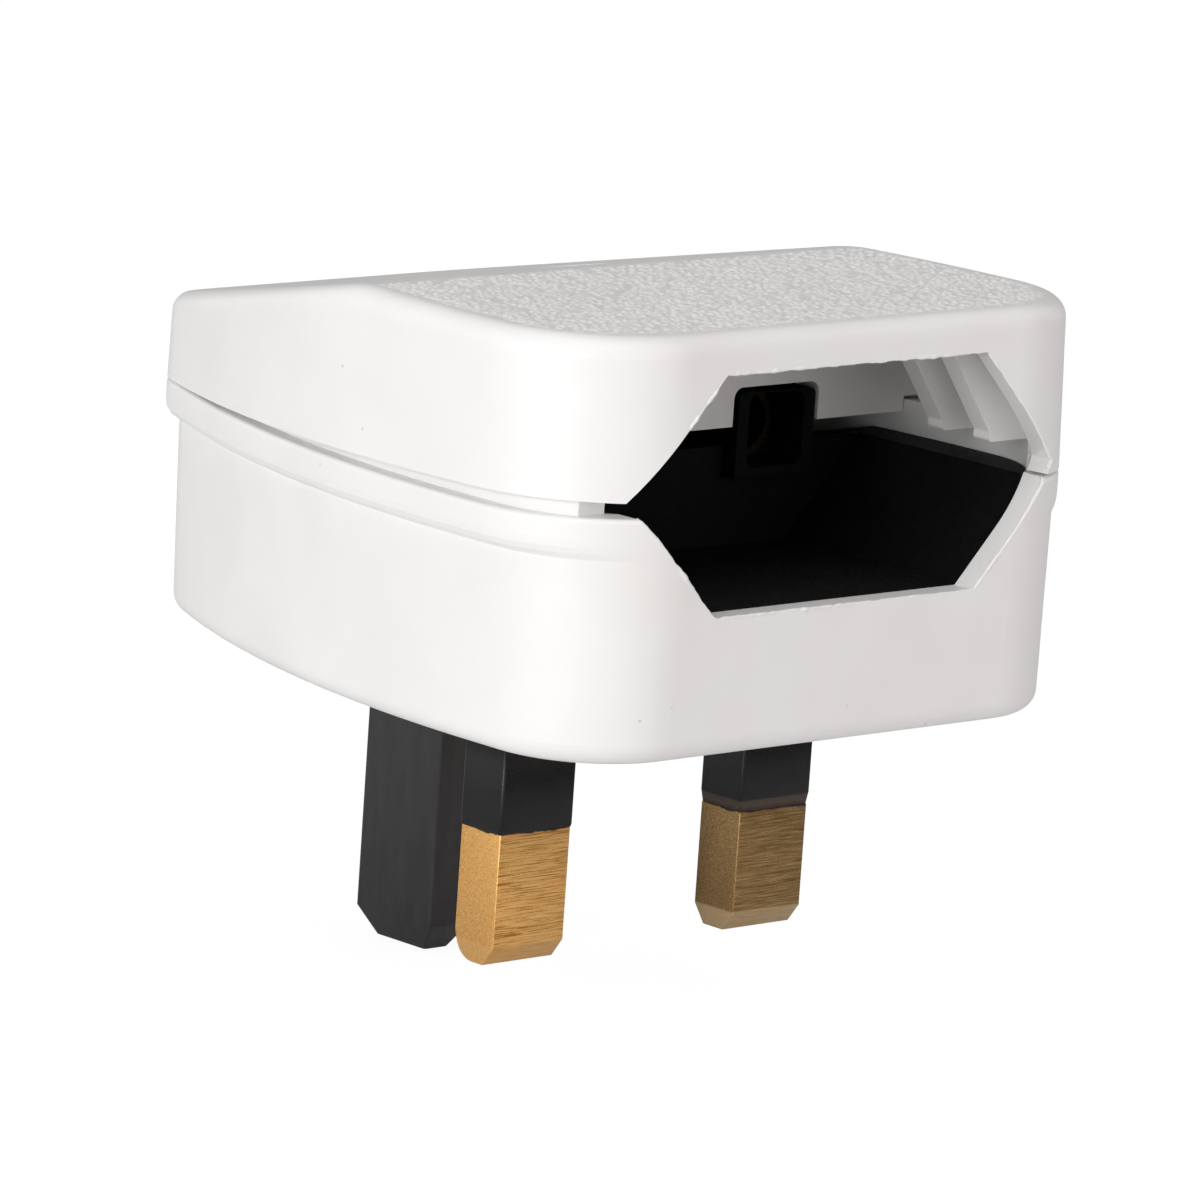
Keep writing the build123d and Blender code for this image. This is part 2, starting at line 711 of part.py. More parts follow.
# Hinge pin
hinge_length = lid_knuckle + 2 * (hinge_gap + base_knuckle)
with BuildPart() as hinge_pin:
    with BuildSketch(Plane.YZ.offset(-hinge_length / 2)):
        with Locations((hinge_y, hinge_z)):
            Circle(hinge_pin_radius)
    extrude(amount=hinge_length)
    chamfer(hinge_pin.edges(), hinge_pin_radius * 0.25)
hinge_pin.part.label = "hinge_pin"
export_step(hinge_pin.part, "parts/hinge_pin.step")

# Lid screw, backed out of its insert so that the lid is free, and the washer that keeps it in
screw_top = roof_z(lid_screw_y) - lid_screw_sink
screw_under = screw_top - lid_screw_head_height
with BuildPart() as lid_screw:
    with BuildSketch(Plane.XY.offset(screw_under)):
        with Locations((0, lid_screw_y)):
            Circle(lid_screw_head_radius)
    extrude(amount=lid_screw_head_height)
    chamfer(lid_screw.faces().sort_by(Axis.Z)[-1].edges(), 0.2 * lid_screw_head_height)
    with BuildSketch(Plane.XY.offset(screw_under - lid_screw_length)):
        with Locations((0, lid_screw_y)):
            Circle(lid_screw_radius)
    extrude(amount=lid_screw_length)
    chamfer(lid_screw.faces().sort_by(Axis.Z)[0].edges(), 0.3 * lid_screw_radius)
    with BuildSketch(Plane.XY.offset(screw_top)):
        with Locations((0, lid_screw_y)):
            Rectangle(1.4 * lid_screw_head_radius, screw_slot_width)
            Rectangle(screw_slot_width, 1.4 * lid_screw_head_radius)
    extrude(amount=-screw_slot_depth, mode=Mode.SUBTRACT)
lid_screw.part.label = "lid_screw"
export_step(lid_screw.part, "parts/lid_screw.step")

with BuildPart() as screw_retaining_washer:
    with BuildSketch(Plane.XY.offset(lid_boss_bottom + lid_boss_web)):
        with Locations((0, lid_screw_y)):
            Circle(washer_radius)
            Circle(lid_screw_radius + hinge_fit, mode=Mode.SUBTRACT)
    extrude(amount=washer_thick)
screw_retaining_washer.part.label = "screw_retaining_washer"
export_step(screw_retaining_washer.part, "parts/screw_retaining_washer.step")

# The fuse drawer: its face closes the slot beside the pins, and a cradle holds the fuse
with BuildPart() as fuse_drawer:
    with BuildSketch():
        with Locations((0, fuse_y)):
            Rectangle(drawer_length, drawer_depth)
    extrude(amount=drawer_face)
    with BuildSketch(Plane.XY.offset(drawer_face)):
        with Locations((0, fuse_y)):
            with GridLocations(fuse_length + 2 * drawer_fit + drawer_wall, 0, 2, 1):
                Rectangle(drawer_wall, 2 * fuse_radius)
    extrude(amount=drawer_height)
    with BuildSketch(Plane.XY.offset(drawer_face)):
        with Locations((0, fuse_y)):
            with GridLocations(0, 2 * (fuse_radius + clip_fit) + clip_thick, 1, 2):
                Rectangle(2 * drawer_side_half, clip_thick)
    extrude(amount=fuse_radius + drawer_lift)
    with BuildSketch():
        with Locations((0, fuse_y)):
            SlotOverall(drawer_notch, link_thick * 2)
    extrude(amount=drawer_face / 2, mode=Mode.SUBTRACT)
fuse_drawer.part.label = "fuse_drawer"
export_step(fuse_drawer.part, "parts/fuse_drawer.step")

# The cartridge fuse: a ceramic tube between two plated caps
with BuildPart() as fuse_tube:
    with BuildSketch(Plane.YZ.offset(-fuse_length / 2 + fuse_cap_wall)):
        with Locations((fuse_y, fuse_z)):
            Circle(fuse_glass_radius)
    extrude(amount=fuse_length - 2 * fuse_cap_wall)
fuse_tube.part.label = "fuse_tube"
export_step(fuse_tube.part, "parts/fuse_tube.step")

for name, side in {"live": 1, "load": -1}.items():
    with BuildPart() as cap:
        with BuildSketch(Plane.YZ.offset(side * fuse_length / 2)):
            with Locations((fuse_y, fuse_z)):
                Circle(fuse_radius)
        extrude(amount=-side * fuse_cap_length)
        with BuildSketch(Plane.YZ.offset(side * (fuse_length / 2 - fuse_cap_wall))):
            with Locations((fuse_y, fuse_z)):
                Circle(fuse_glass_radius)
        extrude(amount=-side * fuse_cap_length, mode=Mode.SUBTRACT)
        end = cap.faces().filter_by(Axis.X).sort_by(Axis.X)[-1 if side > 0 else 0]
        chamfer(end.edges(), fuse_cap_wall * 0.8)
    cap.part.label = "fuse_cap_" + name
    export_step(cap.part, "parts/fuse_cap_" + name + ".step")
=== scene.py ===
from math import cos, hypot, radians, sin

import bpy
from mathutils import Matrix, Vector


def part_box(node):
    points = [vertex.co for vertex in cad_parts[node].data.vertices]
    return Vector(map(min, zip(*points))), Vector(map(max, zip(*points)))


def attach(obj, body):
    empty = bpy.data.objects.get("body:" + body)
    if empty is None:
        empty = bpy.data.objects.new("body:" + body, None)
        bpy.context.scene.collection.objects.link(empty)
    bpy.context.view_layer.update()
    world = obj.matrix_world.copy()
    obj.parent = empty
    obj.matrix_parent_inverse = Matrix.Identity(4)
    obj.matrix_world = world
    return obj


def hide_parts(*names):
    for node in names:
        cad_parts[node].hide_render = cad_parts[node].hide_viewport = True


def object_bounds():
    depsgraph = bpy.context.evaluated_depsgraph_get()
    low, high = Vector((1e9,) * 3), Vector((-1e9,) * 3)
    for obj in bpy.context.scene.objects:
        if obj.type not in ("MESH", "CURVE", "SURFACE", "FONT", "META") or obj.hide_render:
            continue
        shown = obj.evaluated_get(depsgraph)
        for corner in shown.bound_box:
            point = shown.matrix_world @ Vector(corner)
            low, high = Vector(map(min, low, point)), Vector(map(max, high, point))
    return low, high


bl_info = {
    "name": "Converter plug dressing",
    "version": (1, 0, 0),
    "blender": (4, 5, 0),
    "location": "View3D > Sidebar > Converter plug",
    "description": "Finishes and fine details of a plug that turns round pins into flat ones",
    "category": "Add Mesh",
}

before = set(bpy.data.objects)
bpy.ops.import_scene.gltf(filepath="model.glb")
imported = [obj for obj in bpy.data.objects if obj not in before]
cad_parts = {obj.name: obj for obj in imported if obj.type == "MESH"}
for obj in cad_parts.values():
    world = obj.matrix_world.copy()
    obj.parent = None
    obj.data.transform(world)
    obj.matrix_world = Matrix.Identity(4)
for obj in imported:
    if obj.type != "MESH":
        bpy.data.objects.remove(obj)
cad_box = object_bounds()

MM = 0.001

# The photograph's view, in degrees, metres and parts of the picture's width
VIEW_AZIMUTH = -42.97
VIEW_ELEVATION = 11.29
VIEW_ROLL = 3.93
VIEW_DISTANCE = 0.6003
VIEW_TARGET = Vector((-0.00006, 0.00501, 0.00503))
VIEW_LENS = 262.1
VIEW_SHIFT = (-0.0005, 0.002)

# Outline of the lid in plan, in millimetres, as the moulding has it
SIDE_CENTRE = (-73.0, -8.0)
SIDE_RADIUS = 98.0
FRONT_CORNER = 9.6
FRONT_CENTRE = (15.4, -9.3)
FRONT_Y = -18.9
CREASE_Y = 6.0
CREASE_REACH = 1.2

# Corners of the aperture as seen from the front, in millimetres
APERTURE_FLAT = 12.0
APERTURE_VERTEX = 19.7
APERTURE_BOTTOM = 9.5
APERTURE_TOP = 25.8
VERTEX_Z = (APERTURE_BOTTOM + APERTURE_TOP) / 2
RIM_TOP = 16.6
SLEEVE_END = -9.1

# Corners nearer than this, in millimetres, are one corner, and edges flatter than this angle shade as one
WELD = 0.002
SMOOTH_ANGLE = radians(40)

# How strongly the case's plastics and nylon bend light
PLASTIC_IOR = 1.53


def linear(code):
    """An sRGB hex colour as linear red, green, blue and alpha."""
    channels = [int(code[i:i + 2], 16) / 255 for i in (1, 3, 5)]
    return tuple(c / 12.92 if c <= 0.04045 else ((c + 0.055) / 1.055) ** 2.4 for c in channels) + (1.0,)


def add_node(tree, kind, settings=None, links=None):
    """Adds one node, sets its properties and input values, and links its inputs."""
    node = tree.nodes.new(kind)
    for name, value in (settings or {}).items():
        if name == "ramp":
            ramp = node.color_ramp
            while len(ramp.elements) < len(value):
                ramp.elements.new(0.5)
            for element, (place, colour) in zip(ramp.elements, value):
                element.position = place
                element.color = colour
        elif isinstance(name, str) and name in node.bl_rna.properties:
            setattr(node, name, value)
        else:
            node.inputs[name].default_value = value
    for name, source in (links or {}).items():
        tree.links.new(source, node.inputs[name])
    return node


def start_material(name, constants):
    """A new material, its node tree and its main shader with constants on the shader's own sockets."""
    material = bpy.data.materials.new(name)
    material.use_nodes = True
    shader = material.node_tree.nodes["Principled BSDF"]
    for socket, value in constants.items():
        shader.inputs[socket].default_value = value
    return material, material.node_tree, shader


def bare_material(name):
    """A new material with an empty node tree, and that tree."""
    material = bpy.data.materials.new(name)
    material.use_nodes = True
    material.node_tree.nodes.clear()
    return material, material.node_tree


def per_mm(size):
    """Texture scale at which one feature measures this many millimetres."""
    return 1.0 / (size * MM)


def moulded_abs(name, main, warm, speck_and_shade, roughness, grain_depth, hollow=0.0):
    """ABS from a polished tool: pale, slightly wavy, with a few dark specks of dust in the skin.
    A grained piece carries the depth of its hollows, which hold dust and painted shade and read darker by a
    share."""
    material, tree, shader = start_material(name, {"IOR": PLASTIC_IOR, "Specular IOR Level": 0.45})
    place = add_node(tree, "ShaderNodeTexCoord").outputs["Object"]
    cloud = add_node(tree, "ShaderNodeTexNoise", {"Scale": per_mm(9.0), "Detail": 2.0}, {"Vector": place})
    body = add_node(
        tree, "ShaderNodeValToRGB", {"ramp": [(0.35, main), (0.68, warm)]}, {"Fac": cloud.outputs["Fac"]}
    )
    dust_and_shade = add_node(
        tree, "ShaderNodeTexVoronoi", {"Scale": per_mm(3.6), "Randomness": 1.0}, {"Vector": place}
    )
    spot = add_node(
        tree, "ShaderNodeMapRange",
        {"From Min": 0.02, "From Max": 0.045, "To Min": 0.42, "To Max": 0.0},
        {"Value": dust_and_shade.outputs["Distance"]},
    )
    dirt_and_shade = spot.outputs["Result"]
    # Hollows of the grain darken further, by dust and by painted shade in the gaps between the pebbles
    if hollow:
        depth = add_node(tree, "ShaderNodeAttribute", {"attribute_name": "hollow"})
        dirt_and_shade = add_node(
            tree, "ShaderNodeMath", {"operation": "MULTIPLY_ADD", 1: hollow},
            {0: depth.outputs["Fac"], 2: dirt_and_shade},
        ).outputs["Value"]
    tint = add_node(
        tree, "ShaderNodeMix", {"data_type": "RGBA", 7: speck_and_shade}, {0: dirt_and_shade, 6: body.outputs["Color"]}
    )
    tree.links.new(tint.outputs[2], shader.inputs["Base Color"])
    # Waves of about a millimetre that a moulded skin keeps, and the fine matt grain of the tool
    peel = add_node(tree, "ShaderNodeTexNoise", {"Scale": per_mm(1.1), "Detail": 1.0}, {"Vector": place})
    grit = add_node(tree, "ShaderNodeTexNoise", {"Scale": per_mm(0.16), "Detail": 2.0}, {"Vector": place})
    gloss = add_node(
        tree, "ShaderNodeMapRange",
        {"From Min": 0.3, "From Max": 0.7, "To Min": roughness - 0.05, "To Max": roughness + 0.06},
        {"Value": grit.outputs["Fac"]},
    )
    tree.links.new(gloss.outputs["Result"], shader.inputs["Roughness"])
    waves = add_node(
        tree, "ShaderNodeBump", {"Strength": 0.5, "Distance": 0.012 * MM}, {"Height": peel.outputs["Fac"]}
    )
    skin = add_node(
        tree, "ShaderNodeBump", {"Strength": 0.6, "Distance": grain_depth * MM},
        {"Height": grit.outputs["Fac"], "Normal": waves.outputs["Normal"]},
    )
    tree.links.new(skin.outputs["Normal"], shader.inputs["Normal"])
    return material


def black_nylon(name, main, pale, roughness, streak, grain_depth, shine, foot=None):
    """Glass-filled nylon: near black and satin, with faint paler flow lines.
    The streak scales the lines along X, Y and Z, so that they are longest where it is lowest.
    A foot is a height in millimetres, under which the plastic is thin, and its colour there."""
    material, tree, shader = start_material(name, {"IOR": PLASTIC_IOR, "Specular IOR Level": shine})
    place = add_node(tree, "ShaderNodeTexCoord").outputs["Object"]
    stretch = add_node(tree, "ShaderNodeMapping", {"Scale": streak}, {"Vector": place})
    flow = add_node(
        tree, "ShaderNodeTexNoise", {"Scale": per_mm(1.0), "Detail": 4.0, "Roughness": 0.6},
        {"Vector": stretch.outputs["Vector"]},
    )
    body = add_node(
        tree, "ShaderNodeValToRGB", {"ramp": [(0.38, main), (0.75, pale)]}, {"Fac": flow.outputs["Fac"]}
    )
    colour = body.outputs["Color"]
    if foot is not None:
        height = add_node(tree, "ShaderNodeSeparateXYZ", {}, {"Vector": place})
        under = add_node(
            tree, "ShaderNodeMapRange", {"From Min": foot[0] * MM, "From Max": (foot[0] - 0.08) * MM},
            {"Value": height.outputs["Z"]},
        )
        colour = add_node(
            tree, "ShaderNodeMix", {"data_type": "RGBA", 7: foot[1]}, {0: under.outputs["Result"], 6: colour}
        ).outputs[2]
    tree.links.new(colour, shader.inputs["Base Color"])
    grit = add_node(tree, "ShaderNodeTexNoise", {"Scale": per_mm(0.2), "Detail": 3.0}, {"Vector": place})
    gloss = add_node(
        tree, "ShaderNodeMapRange",
        {"From Min": 0.3, "From Max": 0.7, "To Min": roughness - 0.07, "To Max": roughness + 0.08},
        {"Value": grit.outputs["Fac"]},
    )
    tree.links.new(gloss.outputs["Result"], shader.inputs["Roughness"])
    skin = add_node(
        tree, "ShaderNodeBump", {"Strength": 0.7, "Distance": grain_depth * MM},
        {"Height": grit.outputs["Fac"]},
    )
    tree.links.new(skin.outputs["Normal"], shader.inputs["Normal"])
    return material


def side_sheen_and_tip(tree, place, node):
    """Where a blade is painted paler: all over the narrow sides of the node's box, as a painted highlight,
    and about half at its tip.
    """
    low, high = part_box(node)
    half = (high.x - low.x) / 2
    spot = add_node(tree, "ShaderNodeSeparateXYZ", {}, {"Vector": place})
    off = add_node(
        tree, "ShaderNodeMath", {"operation": "SUBTRACT", 1: (low.x + high.x) / 2}, {0: spot.outputs["X"]}
    )
    off = add_node(tree, "ShaderNodeMath", {"operation": "ABSOLUTE"}, {0: off.outputs["Value"]})
    side = add_node(
        tree, "ShaderNodeMapRange", {"From Min": half - 0.14 * MM, "From Max": half - 0.06 * MM},
        {"Value": off.outputs["Value"]},
    )
    foot = add_node(
        tree, "ShaderNodeMapRange",
        {"From Min": low.z + 1.5 * MM, "From Max": low.z + 1.35 * MM, "To Max": 0.55},
        {"Value": spot.outputs["Z"]},
    )
    return add_node(
        tree, "ShaderNodeMath", {"operation": "MAXIMUM"},
        {0: side.outputs["Result"], 1: foot.outputs["Result"]},
    ).outputs["Value"]


def frayed_cover(tree, place, end):
    """Where a sleeve's plastic covers the metal: above an uneven line near a height in millimetres."""
    height = add_node(tree, "ShaderNodeSeparateXYZ", {}, {"Vector": place})
    fray = add_node(tree, "ShaderNodeTexNoise", {"Scale": per_mm(1.3), "Detail": 4.0}, {"Vector": place})
    edge = add_node(
        tree, "ShaderNodeMath", {"operation": "MULTIPLY_ADD", 1: 0.55 * MM},
        {0: fray.outputs["Fac"], 2: height.outputs["Z"]},
    )
    return add_node(
        tree, "ShaderNodeMapRange",
        {"From Min": (end + 0.16) * MM, "From Max": (end + 0.24) * MM},
        {"Value": edge.outputs["Value"]},
    ).outputs["Result"]


def brushed_brass(name, dark, middle, bright, roughness, sleeve=None, end=SLEEVE_END, blade=None):
    """Drawn brass brushed across the blade: fine level scratches, darker in their bottoms.
    Where a sleeve's colour is given, its plastic ends in an uneven line on the metal just under it.
    A blade is the node whose box the metal fills, and the paler colour of its narrow sides, a painted
    highlight, and of its tip."""
    material, tree, shader = start_material(name, {"Metallic": 1.0})
    place = add_node(tree, "ShaderNodeTexCoord").outputs["Object"]
    # Scratches about 2 mm long and 0.07 mm apart, which show end on, as grit, on the narrow sides
    stretch = add_node(tree, "ShaderNodeMapping", {"Scale": (0.03, 1.0, 1.0)}, {"Vector": place})
    scratch = add_node(
        tree, "ShaderNodeTexNoise", {"Scale": per_mm(0.065), "Detail": 3.0, "Roughness": 0.65},
        {"Vector": stretch.outputs["Vector"]},
    )
    grit = add_node(tree, "ShaderNodeTexNoise", {"Scale": per_mm(0.1), "Detail": 2.0}, {"Vector": place})
    lined = add_node(
        tree, "ShaderNodeMath", {"operation": "MULTIPLY_ADD", 1: 0.35},
        {0: grit.outputs["Fac"], 2: scratch.outputs["Fac"]},
    )
    # A few deeper scratches right across the blade
    across = add_node(tree, "ShaderNodeMapping", {"Scale": (0.02, 1.0, 1.0)}, {"Vector": place})
    deep = add_node(
        tree, "ShaderNodeTexNoise", {"Scale": per_mm(0.075), "Detail": 1.0},
        {"Vector": across.outputs["Vector"]},
    )
    score = add_node(
        tree, "ShaderNodeMapRange", {"From Min": 0.62, "From Max": 0.68, "To Min": 0.0, "To Max": 0.4},
        {"Value": deep.outputs["Fac"]},
    ).outputs["Result"]
    if blade is not None:
        sheen_and_tip = side_sheen_and_tip(tree, place, blade[0])
        kept = add_node(tree, "ShaderNodeMath", {"operation": "SUBTRACT", 0: 1.0}, {1: sheen_and_tip})
        score = add_node(
            tree, "ShaderNodeMath", {"operation": "MULTIPLY"}, {0: score, 1: kept.outputs["Value"]}
        ).outputs["Value"]
    worn = add_node(
        tree, "ShaderNodeMath", {"operation": "SUBTRACT"}, {0: lined.outputs["Value"], 1: score}
    )
    metal = add_node(
        tree, "ShaderNodeValToRGB", {"ramp": [(0.45, dark), (0.67, middle), (0.88, bright)]},
        {"Fac": worn.outputs["Value"]},
    )
    colour = metal.outputs["Color"]
    # Where painted paler, the metal moves towards the blade's paler colour: a painted highlight on the narrow
    # sides, and paler at the tip
    if blade is not None:
        share = add_node(tree, "ShaderNodeMath", {"operation": "MULTIPLY", 1: 0.75}, {0: sheen_and_tip})
        colour = add_node(
            tree, "ShaderNodeMix", {"data_type": "RGBA", 7: blade[1]}, {0: share.outputs["Value"], 6: colour}
        ).outputs[2]
    gloss = add_node(
        tree, "ShaderNodeMapRange",
        {"From Min": 0.45, "From Max": 0.85, "To Min": roughness + 0.08, "To Max": roughness - 0.06},
        {"Value": worn.outputs["Value"]},
    )
    rough = gloss.outputs["Result"]
    if sleeve is not None:
        cover = frayed_cover(tree, place, end)
        colour = add_node(
            tree, "ShaderNodeMix", {"data_type": "RGBA", 7: sleeve}, {0: cover, 6: colour}
        ).outputs[2]
        metallic = add_node(tree, "ShaderNodeMath", {"operation": "SUBTRACT", 0: 1.0}, {1: cover})
        tree.links.new(metallic.outputs["Value"], shader.inputs["Metallic"])
        rough = add_node(
            tree, "ShaderNodeMath", {"operation": "MULTIPLY_ADD", 1: 0.12}, {0: cover, 2: rough}
        ).outputs["Value"]
    tree.links.new(colour, shader.inputs["Base Color"])
    tree.links.new(rough, shader.inputs["Roughness"])
    skin = add_node(
        tree, "ShaderNodeBump", {"Strength": 0.7, "Distance": 0.006 * MM}, {"Height": worn.outputs["Value"]}
    )
    tree.links.new(skin.outputs["Normal"], shader.inputs["Normal"])
    return material


def plated_metal(name, main, dull, roughness, metallic):
    """A plated or fired surface with soft mottling of about half a millimetre."""
    material, tree, shader = start_material(name, {"Metallic": metallic})
    place = add_node(tree, "ShaderNodeTexCoord").outputs["Object"]
    mottle = add_node(tree, "ShaderNodeTexNoise", {"Scale": per_mm(0.5), "Detail": 4.0}, {"Vector": place})
    body = add_node(
        tree, "ShaderNodeValToRGB", {"ramp": [(0.35, dull), (0.65, main)]}, {"Fac": mottle.outputs["Fac"]}
    )
    tree.links.new(body.outputs["Color"], shader.inputs["Base Color"])
    gloss = add_node(
        tree, "ShaderNodeMapRange",
        {"From Min": 0.3, "From Max": 0.7, "To Min": roughness + 0.07, "To Max": roughness - 0.05},
        {"Value": mottle.outputs["Fac"]},
    )
    tree.links.new(gloss.outputs["Result"], shader.inputs["Roughness"])
    skin = add_node(
        tree, "ShaderNodeBump", {"Strength": 0.4, "Distance": 0.008 * MM}, {"Height": mottle.outputs["Fac"]}
    )
    tree.links.new(skin.outputs["Normal"], shader.inputs["Normal"])
    return material


def dress(names, material):
    """Gives these CAD nodes one material."""
    for name in names:
        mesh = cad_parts[name].data
        mesh.materials.clear()
        mesh.materials.append(material)


def deselect_all():
    """Leaves nothing selected, so that the next operator acts on its own piece only."""
    if bpy.context.object and bpy.context.object.mode != "OBJECT":
        bpy.ops.object.mode_set(mode="OBJECT")
    bpy.ops.object.select_all(action="DESELECT")


def pick(piece):
    """Makes one piece the only one selected, and the active one."""
    deselect_all()
    piece.select_set(True)
    bpy.context.view_layer.objects.active = piece


def apply_modifier(piece, kind, settings):
    """Adds a modifier, sets it and applies it."""
    pick(piece)
    modifier = piece.modifiers.new(kind.title(), kind)
    for name, value in settings.items():
        setattr(modifier, name, value)
    bpy.ops.object.modifier_apply(modifier=modifier.name)


def leave_unselected(kind):
    """Leaves edit mode with nothing selected, ready for single corners or edges to be chosen."""
    bpy.ops.mesh.select_mode(type=kind)
    bpy.ops.mesh.select_all(action="DESELECT")
    bpy.ops.object.mode_set(mode="OBJECT")


def finish_piece(piece, name, body, material):
    """Names a piece, puts its object at the origin, and gives it its body and material."""
    pick(piece)
    bpy.ops.object.transform_apply(location=True, rotation=True, scale=True)
    piece.name = name
    piece.data.name = name
    piece.data.materials.clear()
    piece.data.materials.append(material)
    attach(piece, body)


def welded_copy(node, name):
    """A copy of a CAD node with its doubled corners joined, left in edit mode with all of it selected."""
    piece = bpy.data.objects.new(name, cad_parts[node].data.copy())
    bpy.context.scene.collection.objects.link(piece)
    pick(piece)
    bpy.ops.object.mode_set(mode="EDIT")
    bpy.ops.mesh.select_all(action="SELECT")
    bpy.ops.mesh.remove_doubles(threshold=WELD * MM)
    return piece


def stand_in(piece, node, name, body, material):
    """Shades a copy so that only its real edges stay sharp, finishes it and puts it in its node's place."""
    pick(piece)
    bpy.ops.object.shade_smooth_by_angle(angle=SMOOTH_ANGLE)
    finish_piece(piece, name, body, material)
    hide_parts(node)


def raise_ring(piece, level, rise):
    """Moves the corners that lie at one height, in millimetres, up by a distance."""
    same_height = 0.05 * MM
    pick(piece)
    bpy.ops.object.mode_set(mode="EDIT")
    leave_unselected("VERT")
    for vertex in piece.data.vertices:
        vertex.select = abs(vertex.co.z - level * MM) < same_height
    bpy.ops.object.mode_set(mode="EDIT")
    bpy.ops.transform.translate(value=(0, 0, rise))
    bpy.ops.object.mode_set(mode="OBJECT")


def cut_sleeve(node, name, height, share, rise, material):
    """A copy of a pin's sleeve that stands for it. Its lower band, from a height in millimetres down,
    draws in to a share of its width and depth, and the whole band moves up by a rise."""
    step, skin = 0.1, 0.4 * MM
    piece = welded_copy(node, name)
    for level in (height, height - step):
        bpy.ops.mesh.select_all(action="SELECT")
        bpy.ops.mesh.bisect(plane_co=(0, 0, level * MM), plane_no=(0, 0, 1))
    leave_unselected("VERT")
    # Only the outer skin of the sleeve draws in, as its bore already fits the pin
    low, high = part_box(node)
    middle = (low + high) / 2
    inner_x, inner_y = (high.x - low.x) / 2 - skin, (high.y - low.y) / 2 - skin
    for vertex in piece.data.vertices:
        offset = vertex.co - middle
        outer = abs(offset.x) > inner_x or abs(offset.y) > inner_y
        vertex.select = vertex.co.z < (height - step / 2) * MM and outer
    bpy.ops.object.mode_set(mode="EDIT")
    bpy.ops.transform.resize(value=(share[0], share[1], 1.0), center_override=middle)
    bpy.ops.object.mode_set(mode="OBJECT")
    if rise:
        for level in (height, height - step, SLEEVE_END):
            raise_ring(piece, level, rise)
    stand_in(piece, node, name, "housing", material)


def softened_copy(node, name, width, body, material, tip=0.0, rise=0.0):
    """A copy of a CAD node with its sharp edges rounded, which stands for that node.
    A tip width rounds the back edges of a blade's tip first, and a rise lifts its shoulder."""
    piece = welded_copy(node, name)
    bpy.ops.mesh.dissolve_limited(angle_limit=radians(1.0))
    leave_unselected("EDGE")
    if tip:
        # The level edges across the blade's back that lie in its lowest few millimetres
        tip_top, back_y, level_within, shortest = -15 * MM, 0.2 * MM, 0.01 * MM, MM
        places = [vertex.co for vertex in piece.data.vertices]
        for edge in piece.data.edges:
            one, two = (places[index] for index in edge.vertices)
            low = max(one.z, two.z) < tip_top and min(one.y, two.y) > back_y
            edge.select = low and abs(one.z - two.z) < level_within and abs(one.x - two.x) > shortest
        bpy.ops.object.mode_set(mode="EDIT")
        bpy.ops.mesh.bevel(offset=tip, segments=4, profile=0.5, clamp_overlap=True)
        bpy.ops.object.mode_set(mode="OBJECT")
    if rise:
        raise_ring(piece, SLEEVE_END, rise)
    apply_modifier(
        piece, "BEVEL",
        {
            "width": width, "segments": 3, "limit_method": "ANGLE", "angle_limit": radians(28),
            "use_clamp_overlap": True,
        },
    )
    stand_in(piece, node, name, body, material)


def plateau_margin(x, y):
    """How far a place lies inside the outline of the lid's level front part, in millimetres."""
    side = abs(x)
    if y < FRONT_CENTRE[1] and side > FRONT_CENTRE[0]:
        return FRONT_CORNER - hypot(side - FRONT_CENTRE[0], y - FRONT_CENTRE[1])
    flank = SIDE_RADIUS - hypot(side - SIDE_CENTRE[0], max(0.0, y - SIDE_CENTRE[1]))
    return min(flank, y - FRONT_Y, CREASE_Y + CREASE_REACH - y)


def close_underneath(sheet, depth):
    """Takes an open sheet's border down by a depth and closes the sheet there with one face."""
    pick(sheet)
    bpy.ops.object.mode_set(mode="EDIT")
    bpy.ops.mesh.select_all(action="SELECT")
    bpy.ops.mesh.delete_loose(use_verts=True, use_edges=True, use_faces=False)
    bpy.ops.mesh.select_mode(type="EDGE")
    bpy.ops.mesh.select_all(action="DESELECT")
    bpy.ops.mesh.select_non_manifold(
        extend=False, use_wire=False, use_boundary=True, use_multi_face=False, use_non_contiguous=False,
        use_verts=False,
    )
    bpy.ops.mesh.extrude_region_move(TRANSFORM_OT_translate={"value": (0, 0, -depth)})
    bpy.ops.mesh.edge_face_add()
    bpy.ops.mesh.select_all(action="SELECT")
    bpy.ops.mesh.normals_make_consistent(inside=False)
    bpy.ops.object.mode_set(mode="OBJECT")


class PlugSizes(bpy.types.PropertyGroup):
    """Sizes of the details that dress the mouldings."""

    grain_cell: bpy.props.FloatProperty(
        name="Grain cell", description="Width of one pebble of the lid's grain",
        default=0.52 * MM, unit="LENGTH",
    )
    grain_height: bpy.props.FloatProperty(
        name="Grain height", description="Height of the lid's grain",
        default=0.18 * MM, unit="LENGTH",
    )
    grain_border: bpy.props.FloatProperty(
        name="Grain border", description="Smooth border round the lid's grain",
        default=1.9 * MM, unit="LENGTH",
    )
    grain_step: bpy.props.FloatProperty(
        name="Grain step", description="Spacing of the grain's mesh",
        default=0.108 * MM, unit="LENGTH",
    )
    bead_radius: bpy.props.FloatProperty(
        name="Edge bead", description="Radius of the moulding flash on the aperture",
        default=0.12 * MM, unit="LENGTH",
    )
    blade_bevel: bpy.props.FloatProperty(
        name="Blade edges", description="Rounding of the pins' edges",
        default=0.1 * MM, unit="LENGTH",
    )
    tip_round: bpy.props.FloatProperty(
        name="Tip rounding", description="Rounding behind the neutral pin's tip",
        default=0.8 * MM, unit="LENGTH",
    )
    sleeve_rise: bpy.props.FloatProperty(
        name="Sleeve rise", description="How much shorter the neutral pin's sleeve ends",
        default=0.65 * MM, unit="LENGTH",
    )


